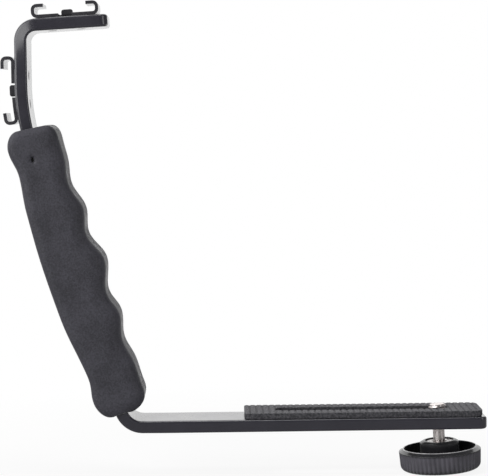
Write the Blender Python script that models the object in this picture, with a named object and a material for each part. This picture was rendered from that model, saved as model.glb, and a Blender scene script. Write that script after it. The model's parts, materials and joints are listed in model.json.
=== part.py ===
"""Camera flash bracket: a flat bar bent into a C, with a moulded grip, two accessory shoes,
a rubber camera pad and a captive camera screw that slides, lifts and turns in the bar's slot.

Frame: +X runs along the bottom arm towards its free end, +Z is up and -Y is the front.
The origin is on the pad's top face, midway between the pad's inner end and its slot."""
import math

import bmesh
import bpy
from mathutils import Matrix, Vector

# Fits shared by the whole bracket
SEAT_GAP = 0.0003            # left between pieces that rest on each other
CUT_OVERRUN = 0.0010         # how far a cutter runs past what it cuts
ROUND_STEPS = 40             # facets round a turned piece
ARC_STEPS = 6                # facets round a quarter of a bend or corner
BAR_EDGE_STEPS = 2           # facets round each long edge of the bar

# Bar
BAR_WIDTH = 0.0200
BAR_THICKNESS = 0.0045
BAR_EDGE_ROUND = 0.0007
BAR_STEP = 0.0050            # longest straight facet along its gentle bends
BAR_END_RADIUS = 0.0030      # corners of both ends, seen square to the strip
BOTTOM_ARM_LENGTH = 0.1246   # straight run up to the bottom bend
BOTTOM_BEND_RADIUS = 0.0059  # inner radius
HANDLE_LENGTH = 0.1096       # gently bowed run under the grip
HANDLE_LEAN_LOW = math.radians(24.0)    # from the vertical, where the handle begins
HANDLE_LEAN_HIGH = math.radians(11.0)   # and where it ends
NECK_BEND_RADIUS = 0.0780    # of the centre line
NECK_LENGTH = 0.0150         # upright run between neck bend and top bend
TOP_BEND_RADIUS = 0.0034     # inner radius
TOP_ARM_RISE = math.radians(3.3)
TOP_ARM_LENGTH = 0.0257

# Slot and camera pad
SLOT_WIDTH = 0.0052
SLOT_END_DISTANCE = 0.0168   # bar's free end to the nearer round end's centre
PAD_LENGTH = 0.0862
PAD_WIDTH = 0.0194
PAD_THICKNESS = 0.0021
PAD_UNSLOTTED = 0.0111       # from the pad's inner end to its slot
PAD_END_INSET = 0.0015       # bar's free end to the pad's end
PAD_SLOT_CLEARANCE = 0.00035   # beside the screw's thread
PAD_EDGE_ROUND = 0.0003
PAD_INNER_CORNER = 0.0012

# Grip, moulded round the handle
GRIP_DEPTH = 0.0260
GRIP_BACK_REACH = 0.0080     # centre line of the bar to the fullest point of the back
GRIP_FINGER_REACH = 0.01456  # centre line of the bar to the highest finger rib
GRIP_BACK_ROUND = 0.0028
GRIP_FINGER_ROUND = 0.0048
GRIP_END_ROUND = 0.0018
GRIP_POINT_PITCH = 0.0024    # spacing of outline points along the sides
WINDOW_LENGTH = 0.0026       # hole left by the mould's support blade
WINDOW_WIDTH = 0.0012
window_station_share = 0.886

# Along the handle from its foot, and out from the bar's centre line
grip_back_shares = (
    (0.068, 0.944), (0.150, 0.710), (0.370, 0.885), (0.560, 0.903),
    (0.720, 0.878), (0.843, 0.775), (0.926, 1.000),
)
grip_finger_shares = (
    (0.046, 0.735), (0.142, 0.786), (0.217, 0.720), (0.316, 0.901), (0.390, 0.772),
    (0.502, 1.000), (0.605, 0.751), (0.684, 0.872), (0.785, 0.670), (0.862, 0.737), (0.940, 0.711),
)
grip_top_station_share = 0.985
grip_top_back_share = 0.400      # where the flat top ends, of the back reach
grip_top_finger_share = 0.495    # where the flat top ends, of the finger reach
grip_foot_back_shares = (0.004, 0.310)      # where the flat foot ends: station, back reach
grip_foot_finger_shares = (-0.0064, 0.254)  # where the flat foot ends: station, finger reach

# Accessory shoes, bent from sheet
SHOE_WIDTH = 0.0237          # along the bar
SHOE_LENGTH = 0.0145         # along the slot for the foot
SHOE_HEIGHT = 0.0050         # bar's face to the top of the lips
SHOE_SHEET = 0.0009
SHOE_LIP = 0.00415           # outer side to the lip's edge
SHOE_CORNER = 0.0019         # outer radius of its bends
SHOE_BASE_PITCH = 0.0024     # spacing of outline points along the base
SHOE_NOTCH_WIDTH = 0.0053
SHOE_BRIDGE = 0.0011         # strip left behind the notch
STOP_WIDTH = 0.0039
STOP_BEND = 0.0004           # inner radius where the foot stop is bent up
STOP_HEIGHT = 0.0031         # bar's face to its top edge
STOP_CORNER = 0.0007
TOP_SHOE_DISTANCE = 0.0150   # middle of the shoe to the top arm's end
SIDE_SHOE_BELOW_NECK = 0.0024   # middle of the shoe below the neck bend's upper end

# Rivets
RIVET_SPACING = 0.0104
RIVET_FORWARD = 0.0025       # in front of the bar's middle
RIVET_SHANK = 0.0022
RIVET_HEAD = 0.0038
RIVET_HEAD_THICKNESS = 0.00035
RIVET_TAIL = 0.0032
RIVET_TAIL_HEIGHT = 0.0002
RIVET_STEPS = 20

# Camera screw, washers and knob
SCREW_LEAN = math.radians(3.2)   # the loose screw's rest, its top leaning towards the grip
THREAD_DIAMETER = 0.00635
THREAD_CHAMFER = 0.0006
NECK_DIAMETER = 0.00425
SCREW_PROUD = 0.0011         # tip above the pad at rest
KNOB_DROP = 0.0053           # bar's underside to the boss at rest
RETAINER_THICKNESS = 0.0004
WASHER_DIAMETER = 0.0098
WASHER_THICKNESS = 0.0006
WASHER_SUNK = 0.0004         # boss top to washer top
INSERT_HEIGHT = 0.0055
INSERT_KNURLS = 24
INSERT_KNURL_DEPTH = 0.0003
KNOB_DIAMETER = 0.0300
KNOB_HEIGHT = 0.0071         # wall's top edge to underside
KNOB_DRAFT = 0.0004          # the wall's radius lost towards the underside
KNOB_RIM_WIDTH = 0.0019
KNOB_RIM_RISE = 0.0010       # wall's top edge to the rim's crest beside the hollow
KNOB_RIM_LAND = 0.0003       # width of the flat crest
KNOB_RIM_ROUND = 0.0005
KNOB_FOOT_ROUND = 0.0020
KNOB_FLOOR = 0.0023
KNOB_FLUTES = 54
KNOB_FLUTE_DEPTH = 0.0004
FLUTE_POINTS = 4             # round one flute
BOSS_DIAMETER = 0.0143
BOSS_TOP_DIAMETER = 0.0119
BOSS_CHAMFER_HEIGHT = 0.0006
BOSS_PROUD = 0.0036          # boss top above the wall's top edge
DISH_DIAMETER = 0.0230       # shallow dish in the knob's underside
DISH_DEPTH = 0.0005

# Places that follow from the sizes
PAD_SLOT_WIDTH = THREAD_DIAMETER + 2 * PAD_SLOT_CLEARANCE
PAD_INNER_X = -PAD_UNSLOTTED / 2
ARM_END_X = PAD_INNER_X + PAD_LENGTH + PAD_END_INSET
SCREW_X = ARM_END_X - SLOT_END_DISTANCE
SLOT_INNER_X = PAD_INNER_X + PAD_UNSLOTTED + PAD_SLOT_WIDTH / 2   # centre of its inner end
BAR_TOP_Z = -PAD_THICKNESS - SEAT_GAP
BAR_MIDDLE_Z = BAR_TOP_Z - BAR_THICKNESS / 2
BAR_UNDERSIDE_Z = BAR_TOP_Z - BAR_THICKNESS

HALF_BAR = BAR_THICKNESS / 2
HANDLE_RADIUS = HANDLE_LENGTH / (HANDLE_LEAN_LOW - HANDLE_LEAN_HIGH)
QUARTER = math.pi / 2

# The bar's centre line from the bottom arm's free end: length of each run, and how far it turns
bar_runs = (
    (BOTTOM_ARM_LENGTH, 0.0),
    ((BOTTOM_BEND_RADIUS + HALF_BAR) * (QUARTER - HANDLE_LEAN_LOW), QUARTER - HANDLE_LEAN_LOW),
    (HANDLE_LENGTH, HANDLE_LEAN_LOW - HANDLE_LEAN_HIGH),
    (NECK_BEND_RADIUS * HANDLE_LEAN_HIGH, HANDLE_LEAN_HIGH),
    (NECK_LENGTH, 0.0),
    ((TOP_BEND_RADIUS + HALF_BAR) * (QUARTER - TOP_ARM_RISE), QUARTER - TOP_ARM_RISE),
    (TOP_ARM_LENGTH, 0.0),
)
run_starts = [sum(run[0] for run in bar_runs[:index]) for index in range(len(bar_runs) + 1)]
BEND_START, HANDLE_START, NECK_BEND_START, NECK_START = run_starts[1:5]
BAR_END = run_starts[-1]


def clear_scene():
    """Remove whatever the file holds."""
    for existing in list(bpy.data.objects):
        bpy.data.objects.remove(existing, do_unlink=True)


def make_material(name, color, roughness, metallic=0.0):
    """A plain Principled material."""
    material = bpy.data.materials.new(name)
    material.use_nodes = True
    shader = material.node_tree.nodes["Principled BSDF"]
    shader.inputs["Base Color"].default_value = (*color, 1.0)
    shader.inputs["Roughness"].default_value = roughness
    shader.inputs["Metallic"].default_value = metallic
    return material


def make_object(name, mesh_data, material=None, smooth=False):
    """Turn a bmesh into a named object; one without a material is a cutter or a helper."""
    bmesh.ops.recalc_face_normals(mesh_data, faces=mesh_data.faces)
    mesh = bpy.data.meshes.new(name)
    mesh_data.to_mesh(mesh)
    mesh_data.free()
    if smooth:
        mesh.shade_smooth()
        mesh.set_sharp_from_angle(angle=math.radians(35))
    item = bpy.data.objects.new(name, mesh)
    bpy.context.scene.collection.objects.link(item)
    if material is None:
        item.hide_render = True
        item.display_type = "WIRE"
    else:
        mesh.materials.append(material)
    return item


def combine(target, helper, operation):
    """Cut a helper away from a piece, or join it on."""
    boolean = target.modifiers.new(helper.name, "BOOLEAN")
    boolean.operation = operation
    boolean.solver = "EXACT"
    boolean.object = helper


def prism(outline, low, high, across="Y"):
    """Extrude a flat outline of point pairs from low to high along Y or Z."""
    build = bmesh.new()
    if across == "Y":
        corners = [build.verts.new((first, low, second)) for first, second in outline]
        travel = Vector((0, high - low, 0))
    else:
        corners = [build.verts.new((first, second, low)) for first, second in outline]
        travel = Vector((0, 0, high - low))
    face = build.faces.new(corners)
    raised = bmesh.ops.extrude_face_region(build, geom=[face])["geom"]
    far_side = [element for element in raised if isinstance(element, bmesh.types.BMVert)]
    bmesh.ops.translate(build, verts=far_side, vec=travel)
    return build


def turned(profile, steps=ROUND_STEPS):
    """Spin a closed profile of (radius, height) pairs round the Z axis."""
    build = bmesh.new()
    points = [build.verts.new((radius, 0, height)) for radius, height in profile]
    edges = [build.edges.new(pair) for pair in zip(points, points[1:] + points[:1])]
    bmesh.ops.spin(build, geom=points + edges, cent=(0, 0, 0), axis=(0, 0, 1),
                   angle=2 * math.pi, steps=steps, use_merge=True)
    size = max(radius for radius, _ in profile)
    bmesh.ops.remove_doubles(build, verts=build.verts, dist=size * 1e-4)
    on_axis = [edge for edge in build.edges if not edge.link_faces]
    bmesh.ops.delete(build, geom=on_axis, context="EDGES")
    return build


def arc(center, radius, start, end, steps=ARC_STEPS):
    """Points on an arc or, with two radii, on a stretch of an ellipse."""
    across, up = radius if isinstance(radius, tuple) else (radius, radius)
    angles = [start + (end - start) * step / steps for step in range(steps + 1)]
    return [(center[0] + across * math.cos(a), center[1] + up * math.sin(a)) for a in angles]


def slot_outline(center_a, center_b, width):
    """A slot along X with round ends about two centres."""
    right = arc((center_b, 0), width / 2, -QUARTER, QUARTER, 2 * ARC_STEPS)
    left = arc((center_a, 0), width / 2, QUARTER, 3 * QUARTER, 2 * ARC_STEPS)
    return right + left


def bar_frame(station):
    """Point and heading of the bar's centre line at a distance from the bottom arm's free end."""
    x, z, heading = ARM_END_X, BAR_MIDDLE_Z, math.pi
    for index, (length, turn) in enumerate(bar_runs):
        last = index == len(bar_runs) - 1
        done = station if last else min(station, length)
        if turn and done > 0:
            radius = length / turn
            after = heading - done / radius
            x += radius * (math.sin(heading) - math.sin(after))
            z += radius * (math.cos(after) - math.cos(heading))
            heading = after
        else:
            x += done * math.cos(heading)
            z += done * math.sin(heading)
        station -= done
        if station <= 0 and not last:
            break
    return x, z, heading


def bar_point(station, height):
    """A point that far outward from the bar's centre line."""
    x, z, heading = bar_frame(station)
    return x - height * math.sin(heading), z + height * math.cos(heading)


def bar_matrix(station, height=0.0, forward=0.0):
    """Local X along the bar, Y across it and Z outward, at a height above its outer face."""
    x, z = bar_point(station, HALF_BAR + height)
    heading = bar_frame(station)[2]
    return Matrix.Translation((x, -forward, z)) @ Matrix.Rotation(-heading, 4, "Y")


def face_station(station, along):
    """The station that far along the bar's outer face, which is longer round the neck bend."""
    in_bend = min(0.0, station + along - NECK_START)
    return station + along - in_bend * HALF_BAR / (NECK_BEND_RADIUS + HALF_BAR)


def bar_loft(start, end, clearance=0.0, rounded_ends=False):
    """The strip between two stations, grown by a clearance."""
    stations = {start, end}
    for low, (length, turn) in zip(run_starts, bar_runs):
        by_turn = turn / (QUARTER / ARC_STEPS / 2)
        steps = math.ceil(max(by_turn, length / BAR_STEP)) if turn else 1
        stations |= {low + length * step / steps for step in range(steps + 1)}
    stations = sorted(s for s in stations if start <= s <= end)
    half = BAR_WIDTH / 2 + clearance
    sections = [(s, half) for s in stations]
    if rounded_ends:
        corner = [(BAR_END_RADIUS - x, y) for x, y in arc((0, 0), BAR_END_RADIUS, 0, QUARTER)]
        near = [(start + along, half - BAR_END_RADIUS + across) for along, across in corner]
        far = [(end - along, half - BAR_END_RADIUS + across) for along, across in reversed(corner)]
        sections = near + sections[1:-1] + far
    deep = HALF_BAR + clearance - BAR_EDGE_ROUND
    build = bmesh.new()
    rings = []
    for station, wide in sections:
        wide -= BAR_EDGE_ROUND
        corners = ((wide, deep), (-wide, deep), (-wide, -deep), (wide, -deep))
        ring = []
        for quarter, corner in enumerate(corners):
            start_angle = quarter * QUARTER
            ring += arc(corner, BAR_EDGE_ROUND, start_angle, start_angle + QUARTER, BAR_EDGE_STEPS)
        rings.append([])
        for across, height in ring:
            x, z = bar_point(station, height)
            rings[-1].append(build.verts.new((x, across, z)))
    skin(build, rings)
    return build


def skin(build, rings):
    """Join rings of equal count side by side and close both ends."""
    for ring, following in zip(rings, rings[1:]):
        for i in range(len(ring)):
            j = (i + 1) % len(ring)
            build.faces.new((ring[i], ring[j], following[j], following[i]))
    build.faces.new(rings[0])
    build.faces.new(rings[-1])


def place(item, matrix):
    """Put an object's own frame somewhere."""
    item.matrix_world = matrix
    return item


def hang(item, axis):
    """Carry a piece, modelled at its own height, on the leaning axis."""
    item.parent = axis
    item.location.z = -BAR_MIDDLE_Z


def shoe_stations():
    """Where the middle of each shoe sits on the bar."""
    return {"top_shoe": BAR_END - TOP_SHOE_DISTANCE, "side_shoe": NECK_START - SIDE_SHOE_BELOW_NECK}


def rivet_matrices(station):
    """The two rivets of a shoe, side by side along the bar."""
    sides = (-RIVET_SPACING / 2, RIVET_SPACING / 2)
    return [bar_matrix(station + side, forward=RIVET_FORWARD) for side in sides]


def make_bar(material):
    """The bent strip with its screw slot and rivet holes."""
    bar = make_object("bracket_bar", bar_loft(0.0, BAR_END, rounded_ends=True), material)
    slot = prism(slot_outline(SLOT_INNER_X, SCREW_X, SLOT_WIDTH),
                 BAR_UNDERSIDE_Z - CUT_OVERRUN, BAR_TOP_Z + CUT_OVERRUN, across="Z")
    combine(bar, make_object("bar_slot_cutter", slot), "DIFFERENCE")
    hole = RIVET_SHANK / 2 + SEAT_GAP
    profile = [(0, CUT_OVERRUN), (hole, CUT_OVERRUN),
               (hole, -BAR_THICKNESS - CUT_OVERRUN), (0, -BAR_THICKNESS - CUT_OVERRUN)]
    for shoe, station in shoe_stations().items():
        for number, matrix in enumerate(rivet_matrices(station)):
            cutter = make_object(f"{shoe}_hole_cutter_{number}", turned(profile, RIVET_STEPS))
            combine(bar, place(cutter, matrix), "DIFFERENCE")


def handle_point(station, offset):
    """A point beside the handle's arc: station from its foot, offset towards the fingers."""
    x, z, _ = bar_frame(HANDLE_START)
    lean = HANDLE_LEAN_LOW - station / HANDLE_RADIUS
    center_x = x + HANDLE_RADIUS * math.cos(HANDLE_LEAN_LOW)
    center_z = z + HANDLE_RADIUS * math.sin(HANDLE_LEAN_LOW)
    radius = HANDLE_RADIUS - offset
    return center_x - radius * math.cos(lean), center_z - radius * math.sin(lean)


def eased(knots, station):
    """A wavy line that runs level through each knot."""
    for (low, low_reach), (high, high_reach) in zip(knots, knots[1:]):
        if station <= high:
            way = max(0.0, (station - low) / (high - low))
            return low_reach + (high_reach - low_reach) * (1 - math.cos(math.pi * way)) / 2
    return knots[-1][1]


def wavy_side(knots):
    """Points along a side of the grip, from its lowest knot to its highest."""
    low, high = knots[0][0], knots[-1][0]
    steps = max(2, round((high - low) / GRIP_POINT_PITCH))
    stations = [low + (high - low) * step / steps for step in range(steps + 1)]
    return [(station, eased(knots, station)) for station in stations]


def corner_between(first, second, level_first):
    """A quarter of an ellipse from one point to another, level with the first or the second."""
    level, upright = (first, second) if level_first else (second, first)
    center = (level[0], upright[1])
    radii = (upright[0] - center[0], level[1] - center[1])
    span = (QUARTER, 0.0) if level_first else (0.0, QUARTER)
    return arc(center, radii, *span)


def grip_outline():
    """The grip seen from the front, as (station, offset) pairs going round once."""
    back = [(s * HANDLE_LENGTH, -r * GRIP_BACK_REACH) for s, r in grip_back_shares]
    fingers = [(s * HANDLE_LENGTH, r * GRIP_FINGER_REACH) for s, r in grip_finger_shares]
    top = grip_top_station_share * HANDLE_LENGTH
    top_back = (top, -grip_top_back_share * GRIP_BACK_REACH)
    top_finger = (top, grip_top_finger_share * GRIP_FINGER_REACH)
    station_share, reach_share = grip_foot_back_shares
    foot_back = (station_share * HANDLE_LENGTH, -reach_share * GRIP_BACK_REACH)
    station_share, reach_share = grip_foot_finger_shares
    foot_finger = (station_share * HANDLE_LENGTH, reach_share * GRIP_FINGER_REACH)
    outline = wavy_side(fingers)
    outline += corner_between(fingers[-1], top_finger, True)[1:]
    outline += corner_between(top_back, back[-1], False)
    outline += wavy_side(back)[::-1][1:]
    outline += corner_between(back[0], foot_back, True)[1:]
    outline += corner_between(foot_finger, fingers[0], False)[:-1]
    return outline


def grip_rounding(station, offset):
    """The edge radius grows from the back to the fingers, and stays small at the top corner."""
    side = min(1.0, max(0.0, (offset + GRIP_BACK_REACH / 2) / GRIP_BACK_REACH))
    radius = GRIP_BACK_ROUND + (GRIP_FINGER_ROUND - GRIP_BACK_ROUND) * side
    top = grip_top_station_share * HANDLE_LENGTH
    near_top = min(1.0, max(0.0, (top - station) / (2 * GRIP_FINGER_ROUND)))
    return GRIP_END_ROUND + (radius - GRIP_END_ROUND) * near_top


def make_grip(material):
    """The grip: a rounded slab with finger grooves, a channel for the bar and two mould windows."""
    local = grip_outline()
    points = [Vector(handle_point(*pair)) for pair in local]
    radii = [grip_rounding(*pair) for pair in local]
    inward = []
    for index in range(len(points)):
        along = points[(index + 1) % len(points)] - points[index - 1]
        inward.append(Vector((-along.y, along.x)).normalized())
    half = GRIP_DEPTH / 2
    angles = [QUARTER * step / ARC_STEPS for step in range(ARC_STEPS + 1)]
    levels = [(-1, angle) for angle in reversed(angles)] + [(1, angle) for angle in angles]
    build = bmesh.new()
    rings = []
    for side, angle in levels:
        rings.append([])
        for point, radius, inside in zip(points, radii, inward):
            spot = point + inside * radius * (1 - math.cos(angle))
            depth = half - radius * (1 - math.sin(angle))
            rings[-1].append(build.verts.new((spot.x, side * depth, spot.y)))
    skin(build, rings)
    grip = make_object("grip", build, material, smooth=True)
    channel = bar_loft(BEND_START, NECK_START, clearance=SEAT_GAP)
    combine(grip, make_object("grip_channel_cutter", channel), "DIFFERENCE")
    # Mould windows over the bar's edges, front and back
    station = window_station_share * HANDLE_LENGTH
    straight = (WINDOW_LENGTH - WINDOW_WIDTH) / 2
    through = half + CUT_OVERRUN
    window = prism(slot_outline(-straight, straight, WINDOW_WIDTH), -through, through, across="Z")
    bmesh.ops.rotate(window, verts=window.verts, cent=(0, 0, 0), matrix=Matrix.Rotation(QUARTER, 3, "X"))
    heading = bar_frame(HANDLE_START + station)[2]
    x, z = handle_point(station, 0.0)
    spot = Matrix.Translation((x, 0, z)) @ Matrix.Rotation(-heading, 4, "Y")
    combine(grip, place(make_object("grip_window_cutter", window), spot), "DIFFERENCE")


def shoe_half(inset):
    """Half the shoe's section on one face of the sheet, from the lip to the base.

    Each point is (anchor, beside, above): the base follows the bar from anchor to anchor,
    and the hook is rigid beside its last one."""
    foot, corner = SHOE_CORNER - SHOE_WIDTH / 2, SHOE_CORNER - inset
    low, high = SEAT_GAP + inset, SHOE_HEIGHT - inset
    hook = [(SHOE_LIP - SHOE_WIDTH / 2, high)]
    hook += arc((foot, high - corner), corner, QUARTER, 2 * QUARTER)
    hook += arc((foot, low + corner), corner, 2 * QUARTER, 3 * QUARTER)
    steps = round(SHOE_WIDTH / SHOE_BASE_PITCH / 2)
    base = [(foot * (1 - step / steps), 0.0, low) for step in range(1, steps + 1)]
    return [(foot, along - foot, above) for along, above in hook] + base


def shoe_section(station):
    """The closed section of the bent sheet in the plane of the bar's path."""
    outer, inner = shoe_half(0.0), shoe_half(SHOE_SHEET)
    outer += [(-anchor, -beside, above) for anchor, beside, above in reversed(outer[:-1])]
    inner += [(-anchor, -beside, above) for anchor, beside, above in reversed(inner[:-1])]
    section = []
    for anchor, beside, above in outer + inner[::-1]:
        spot = bar_matrix(face_station(station, anchor), above) @ Vector((beside, 0, 0))
        section.append((spot.x, spot.z))
    return section


def stop_section():
    """Side view of the foot stop: bent up from the bridge behind the notch."""
    back = SHOE_LENGTH / 2 - SHOE_BRIDGE / 2
    bend = SHOE_LENGTH / 2 - SHOE_BRIDGE
    low, top = SEAT_GAP, STOP_HEIGHT
    center = (bend, low + SHOE_SHEET + STOP_BEND)
    outer = arc(center, SHOE_SHEET + STOP_BEND, 3 * QUARTER, 2 * QUARTER)
    inner = arc(center, STOP_BEND, 2 * QUARTER, 3 * QUARTER, ARC_STEPS // 2)
    return ([(back, low)] + outer + [(outer[-1][0], top), (inner[0][0], top)] + inner
            + [(back, low + SHOE_SHEET)])


def make_shoe(name, station, material):
    """A stamped shoe that follows the bar, with a notch, a foot stop and two rivet holes."""
    shoe = make_object(name, prism(shoe_section(station), -SHOE_LENGTH / 2, SHOE_LENGTH / 2), material)
    here = bar_matrix(station)
    half = SHOE_NOTCH_WIDTH / 2
    notch_end = SHOE_LENGTH / 2 - SHOE_BRIDGE
    notch = prism([(-half, -SHOE_LENGTH / 2 - CUT_OVERRUN), (half, -SHOE_LENGTH / 2 - CUT_OVERRUN),
                   (half, notch_end), (-half, notch_end)], 0.0, SHOE_HEIGHT / 2, across="Z")
    combine(shoe, place(make_object(f"{name}_notch_cutter", notch), here), "DIFFERENCE")
    # The stop is drawn in side view along X, then turned to stand across the bar
    stop = prism(stop_section(), -STOP_WIDTH / 2, STOP_WIDTH / 2)
    top_corners = [edge for edge in stop.edges
                   if all(math.isclose(vert.co.z, STOP_HEIGHT, rel_tol=1e-4) for vert in edge.verts)
                   and edge.verts[0].co.y == edge.verts[1].co.y]
    bmesh.ops.bevel(stop, geom=top_corners, offset=STOP_CORNER, segments=ARC_STEPS // 2,
                    affect="EDGES", profile=0.5)
    bmesh.ops.rotate(stop, verts=stop.verts, cent=(0, 0, 0), matrix=Matrix.Rotation(QUARTER, 3, "Z"))
    combine(shoe, place(make_object(f"{name}_stop_helper", stop), here), "UNION")
    # Rivet holes with a recess that takes the head flush with the sheet
    hole, recess = RIVET_SHANK / 2 + SEAT_GAP, RIVET_HEAD / 2 + SEAT_GAP
    floor = SHOE_SHEET - RIVET_HEAD_THICKNESS
    top = SEAT_GAP + SHOE_SHEET + CUT_OVERRUN
    profile = [(0, top), (recess, top), (recess, floor),
               (hole, floor), (hole, -CUT_OVERRUN), (0, -CUT_OVERRUN)]
    for number, matrix in enumerate(rivet_matrices(station)):
        cutter = make_object(f"{name}_seat_cutter_{number}", turned(profile, RIVET_STEPS))
        combine(shoe, place(cutter, matrix), "DIFFERENCE")


def make_rivets(shoe, station, material):
    """Two rivets hold a shoe: a flush head, the shank, and a flat tail under the bar."""
    top = SEAT_GAP + SHOE_SHEET
    tail = -BAR_THICKNESS - SEAT_GAP
    shank, head, foot = RIVET_SHANK / 2, RIVET_HEAD / 2, RIVET_TAIL / 2
    under_head = top - RIVET_HEAD_THICKNESS
    tail_end = tail - RIVET_TAIL_HEIGHT
    tail_edge = arc((foot - RIVET_TAIL_HEIGHT, tail), (RIVET_TAIL_HEIGHT, -RIVET_TAIL_HEIGHT),
                    0.0, QUARTER, ARC_STEPS // 2)
    profile = [(0, top), (head, top), (head, under_head), (shank, under_head), (shank, tail)]
    profile += tail_edge + [(0, tail_end)]
    for number, matrix in enumerate(rivet_matrices(station), start=1):
        rivet = make_object(f"{shoe}_rivet_{number}", turned(profile, RIVET_STEPS), material, smooth=True)
        place(rivet, matrix)


def make_pad(material):
    """The rubber camera pad with its slot."""
    outer_x = ARM_END_X - PAD_END_INSET
    half = PAD_WIDTH / 2
    far, near = BAR_END_RADIUS, PAD_INNER_CORNER
    outline = arc((outer_x - far, far - half), far, -QUARTER, 0.0)
    outline += arc((outer_x - far, half - far), far, 0.0, QUARTER)
    outline += arc((PAD_INNER_X + near, half - near), near, QUARTER, 2 * QUARTER)
    outline += arc((PAD_INNER_X + near, near - half), near, 2 * QUARTER, 3 * QUARTER)
    pad = make_object("camera_pad", prism(outline, -PAD_THICKNESS, 0.0, across="Z"), material, smooth=True)
    slot = prism(slot_outline(SLOT_INNER_X, SCREW_X, PAD_SLOT_WIDTH),
                 -PAD_THICKNESS - CUT_OVERRUN, CUT_OVERRUN, across="Z")
    combine(pad, make_object("pad_slot_cutter", slot), "DIFFERENCE")
    bevel = pad.modifiers.new("edge_round", "BEVEL")
    bevel.width = PAD_EDGE_ROUND
    bevel.segments = 2
    bevel.limit_method = "ANGLE"
    bevel.angle_limit = math.radians(50)


def knob_levels():
    """Heights on the screw's axis, from the bar's underside down."""
    boss_top = BAR_UNDERSIDE_Z - KNOB_DROP
    rim = boss_top - BOSS_PROUD
    underside = rim - KNOB_HEIGHT
    washer_top = boss_top - WASHER_SUNK
    insert_top = washer_top - WASHER_THICKNESS - SEAT_GAP
    return boss_top, rim, underside, washer_top, insert_top


def fluted_ring(build, radius, depth, height, count, points_each):
    """A ring of points whose radius dips once for each flute."""
    ring = []
    for index in range(count * points_each):
        angle = 2 * math.pi * index / (count * points_each)
        reach = radius - depth * (1 - math.cos(count * angle)) / 2
        ring.append(build.verts.new((reach * math.cos(angle), reach * math.sin(angle), height)))
    return ring


def make_knob(material, axis):
    """The hollow fluted knob with its raised boss."""
    boss_top, rim, underside, _, insert_top = knob_levels()
    radius = KNOB_DIAMETER / 2
    inner, outer = BOSS_DIAMETER / 2, radius - KNOB_RIM_WIDTH
    crest = rim + KNOB_RIM_RISE
    low_radius = radius - KNOB_DRAFT
    foot = arc((low_radius - KNOB_FOOT_ROUND, underside + KNOB_FOOT_ROUND), KNOB_FOOT_ROUND,
               -QUARTER, 0.0, ARC_STEPS // 2)
    build = bmesh.new()
    rings = []
    for step, (reach, height) in enumerate(foot):
        depth = KNOB_FLUTE_DEPTH * step / (len(foot) - 1)
        rings.append(fluted_ring(build, reach, depth, height, KNOB_FLUTES, FLUTE_POINTS))
    for reach, depth, height in ((radius, KNOB_FLUTE_DEPTH, rim - 2 * KNOB_RIM_ROUND),
                                 (radius, 0.0, rim - KNOB_RIM_ROUND),
                                 (radius - KNOB_RIM_ROUND, 0.0, rim),
                                 (outer + KNOB_RIM_LAND, 0.0, crest)):
        rings.append(fluted_ring(build, reach, depth, height, KNOB_FLUTES, FLUTE_POINTS))
    skin(build, rings)
    knob = make_object("knob", build, material, smooth=True)
    # Ring-shaped cavity round the boss
    floor = underside + KNOB_FLOOR
    cavity = [(inner, floor), (outer - KNOB_RIM_ROUND, floor), (outer, floor + KNOB_RIM_ROUND),
              (outer, crest + CUT_OVERRUN), (inner, crest + CUT_OVERRUN)]
    combine(knob, make_object("knob_cavity_cutter", turned(cavity)), "DIFFERENCE")
    shoulder = boss_top - BOSS_CHAMFER_HEIGHT
    boss = [(0, boss_top), (BOSS_TOP_DIAMETER / 2, boss_top), (inner, shoulder),
            (inner, floor - KNOB_FLOOR / 2), (0, floor - KNOB_FLOOR / 2)]
    combine(knob, make_object("knob_boss_helper", turned(boss)), "UNION")
    bore_radius = WASHER_DIAMETER / 2 + SEAT_GAP
    bore_floor = insert_top - INSERT_HEIGHT - SEAT_GAP
    bore = [(0, boss_top + CUT_OVERRUN), (bore_radius, boss_top + CUT_OVERRUN),
            (bore_radius, bore_floor), (0, bore_floor)]
    combine(knob, make_object("knob_bore_cutter", turned(bore)), "DIFFERENCE")
    dish = DISH_DIAMETER / 2
    under = [(0, underside + DISH_DEPTH), (dish - DISH_DEPTH, underside + DISH_DEPTH),
             (dish + CUT_OVERRUN, underside - CUT_OVERRUN), (0, underside - CUT_OVERRUN)]
    combine(knob, make_object("knob_dish_cutter", turned(under)), "DIFFERENCE")
    for item in [knob] + [modifier.object for modifier in knob.modifiers]:
        hang(item, axis)


def make_insert(material, axis):
    """The knurled bush that grips the screw inside the boss."""
    insert_top = knob_levels()[4]
    low = insert_top - INSERT_HEIGHT
    outer, bore = WASHER_DIAMETER / 2, NECK_DIAMETER / 2 + SEAT_GAP
    build = bmesh.new()
    rings = [fluted_ring(build, outer, INSERT_KNURL_DEPTH, height, INSERT_KNURLS, 2)
             for height in (low, insert_top)]
    skin(build, rings)
    insert = make_object("knob_insert", build, material)
    hole = [(0, insert_top + CUT_OVERRUN), (bore, insert_top + CUT_OVERRUN),
            (bore, low - CUT_OVERRUN), (0, low - CUT_OVERRUN)]
    cutter = make_object("insert_bore_cutter", turned(hole, RIVET_STEPS))
    combine(insert, cutter, "DIFFERENCE")
    hang(insert, axis)
    hang(cutter, axis)


def make_washer(name, outer_diameter, low, thickness, material):
    """A flat ring for the screw's neck."""
    bore, outer = NECK_DIAMETER / 2 + SEAT_GAP, outer_diameter / 2
    profile = [(bore, low), (outer, low), (outer, low + thickness), (bore, low + thickness)]
    return make_object(name, turned(profile), material, smooth=True)


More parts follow.
